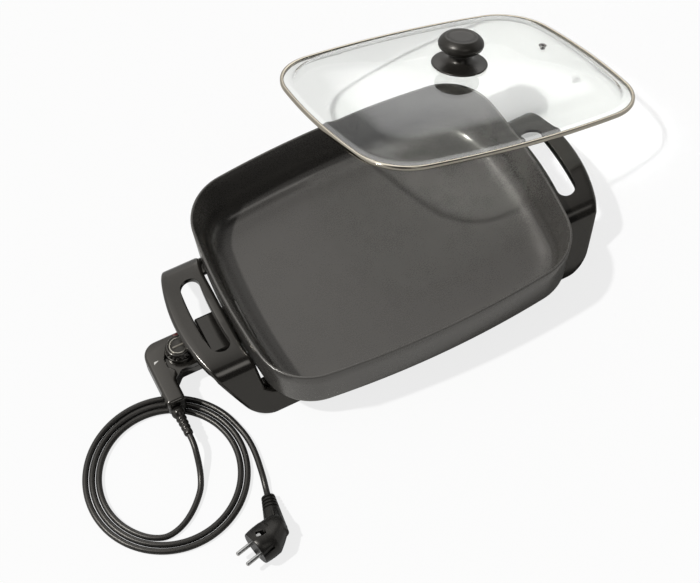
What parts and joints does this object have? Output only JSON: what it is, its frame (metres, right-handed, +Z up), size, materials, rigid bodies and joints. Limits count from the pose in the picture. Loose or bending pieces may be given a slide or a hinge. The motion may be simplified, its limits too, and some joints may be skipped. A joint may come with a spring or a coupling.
{
  "type": "electric skillet",
  "caption": "Electric skillet: rectangular cast pan on arched handles that form its legs, plug-in thermostat control with coiled cord, and a loose domed glass lid lying against it.",
  "frame": {"origin": "centre of the pan's flat cooking surface", "axes": "+X along the pan's length away from the thermostat end, +Y across towards the side where the lid lies, +Z up; the table is at z = -0.034"},
  "size_m": [0.7966, 0.5567, 0.1812],
  "materials": {
    "nonstick_pan": "fine matt non-stick coating on cast aluminium",
    "steel": "satin",
    "ceramic": "unglazed ceramic",
    "black_plastic": "glossy moulded phenolic",
    "lid_glass": "clear tempered glass",
    "knob_plastic": "matt moulded phenolic",
    "cord_rubber": "soft satin",
    "plug_plastic": "fine matt",
    "brass": "plain",
    "red_lens": "translucent red"
  },
  "bodies": {
    "pan": {"pan_body": "nonstick_pan", "heating_element": "steel", "terminal_pin_front": "steel", "terminal_pin_rear": "steel", "terminal_bush_front": "ceramic", "terminal_bush_rear": "ceramic", "socket_guard": "black_plastic", "guard_screw_front": "steel", "guard_screw_rear": "steel", "handle_left": "black_plastic", "handle_right": "black_plastic", "handle_left_screw_front": "steel", "handle_left_screw_rear": "steel", "handle_right_screw_front": "steel", "handle_right_screw_rear": "steel"},
    "lid": {"lid_glass": "lid_glass", "lid_band": "steel", "vent_eyelet": "steel", "knob_collar": "knob_plastic", "lid_knob": "knob_plastic", "lid_screw": "steel", "lid_washer": "cord_rubber"},
    "control": {"control_lower_shell": "black_plastic", "control_upper_shell": "black_plastic", "control_screw_1": "steel", "control_screw_2": "steel", "heat_probe": "steel", "contact_sleeve_front": "brass", "contact_sleeve_rear": "brass", "thermostat_base": "ceramic", "bimetal_strip": "brass", "terminal_block": "ceramic", "indicator_lens": "red_lens", "strain_relief": "cord_rubber", "cord_lead": "cord_rubber", "cord_coil": "cord_rubber", "cord_tail": "cord_rubber", "plug_body": "plug_plastic", "plug_pin_1": "steel", "plug_pin_2": "steel", "earth_clip_top": "steel", "earth_clip_bottom": "steel"},
    "dial": {"control_dial": "black_plastic", "dial_ring": "steel", "dial_shaft": "steel"}
  },
  "joints": [
    {"name": "lid_lift", "type": "slide", "parent": "pan", "child": "lid", "axis": [0, 0, 1], "range_m": [0, 0.12]},
    {"name": "control_pull", "type": "slide", "parent": "pan", "child": "control", "axis": [-1, 0, 0], "range_m": [0, 0.08]},
    {"name": "dial_turn", "type": "hinge", "parent": "control", "child": "dial", "pos_m": [-0.263, -0.008, 0.005], "axis": [0, 0, 1], "range_deg": [-270, 0]}
  ]
}
